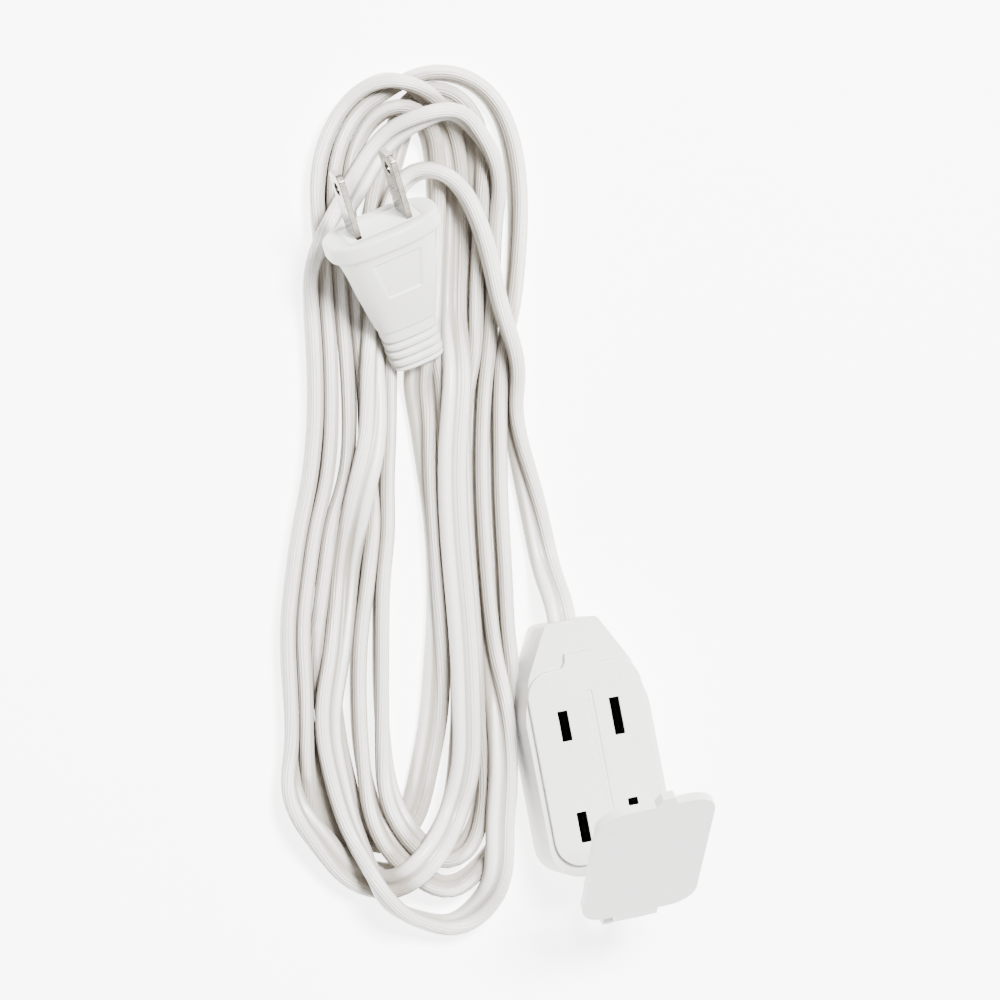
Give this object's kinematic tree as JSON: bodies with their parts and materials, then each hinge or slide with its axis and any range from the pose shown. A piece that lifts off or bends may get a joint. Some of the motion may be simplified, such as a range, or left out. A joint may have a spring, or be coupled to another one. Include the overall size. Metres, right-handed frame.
{
  "type": "extension cord",
  "caption": "Flat household extension cord wound in a loose hank, with a polarized blade plug and an outlet connector that has a hinged safety cover.",
  "frame": {"origin": "centre of the rear outlet plate's outer face, on which the connector lies", "axes": "+Z out of the front outlets, +Y along the connector to its cord end, +X to the side of the wide slots"},
  "size_m": [0.0874, 0.2074, 0.0686],
  "materials": {
    "housing_plastic": "satin",
    "plate_plastic": "gloss",
    "cover_plastic": "gloss",
    "pin_steel": "brushed",
    "contact_brass": "bare",
    "cord_vinyl": "satin",
    "plug_vinyl": "satin",
    "bridge_plastic": "matte",
    "blade_nickel": "brushed"
  },
  "bodies": {
    "connector": {"housing_back": "housing_plastic", "housing_front": "housing_plastic", "rear_plate": "plate_plastic", "face_plate": "plate_plastic", "hinge_pin": "pin_steel", "contact_hot": "contact_brass", "contact_neutral": "contact_brass", "crimp_hot": "contact_brass", "crimp_neutral": "contact_brass", "lead_hot": "cord_vinyl", "lead_neutral": "cord_vinyl", "plug_body": "plug_vinyl", "plug_bridge": "bridge_plastic", "blade_hot": "blade_nickel", "blade_neutral": "blade_nickel", "plug_lead_hot": "cord_vinyl", "plug_lead_neutral": "cord_vinyl", "cord_hank": "cord_vinyl", "cord_to_connector": "cord_vinyl"},
    "cover": {"safety_cover": "cover_plastic"}
  },
  "joints": [
    {"name": "cover_hinge", "type": "hinge", "parent": "connector", "child": "cover", "pos_m": [0, -0.03965, 0.0139], "axis": [1, 0, 0], "range_deg": [-55, 125]}
  ]
}
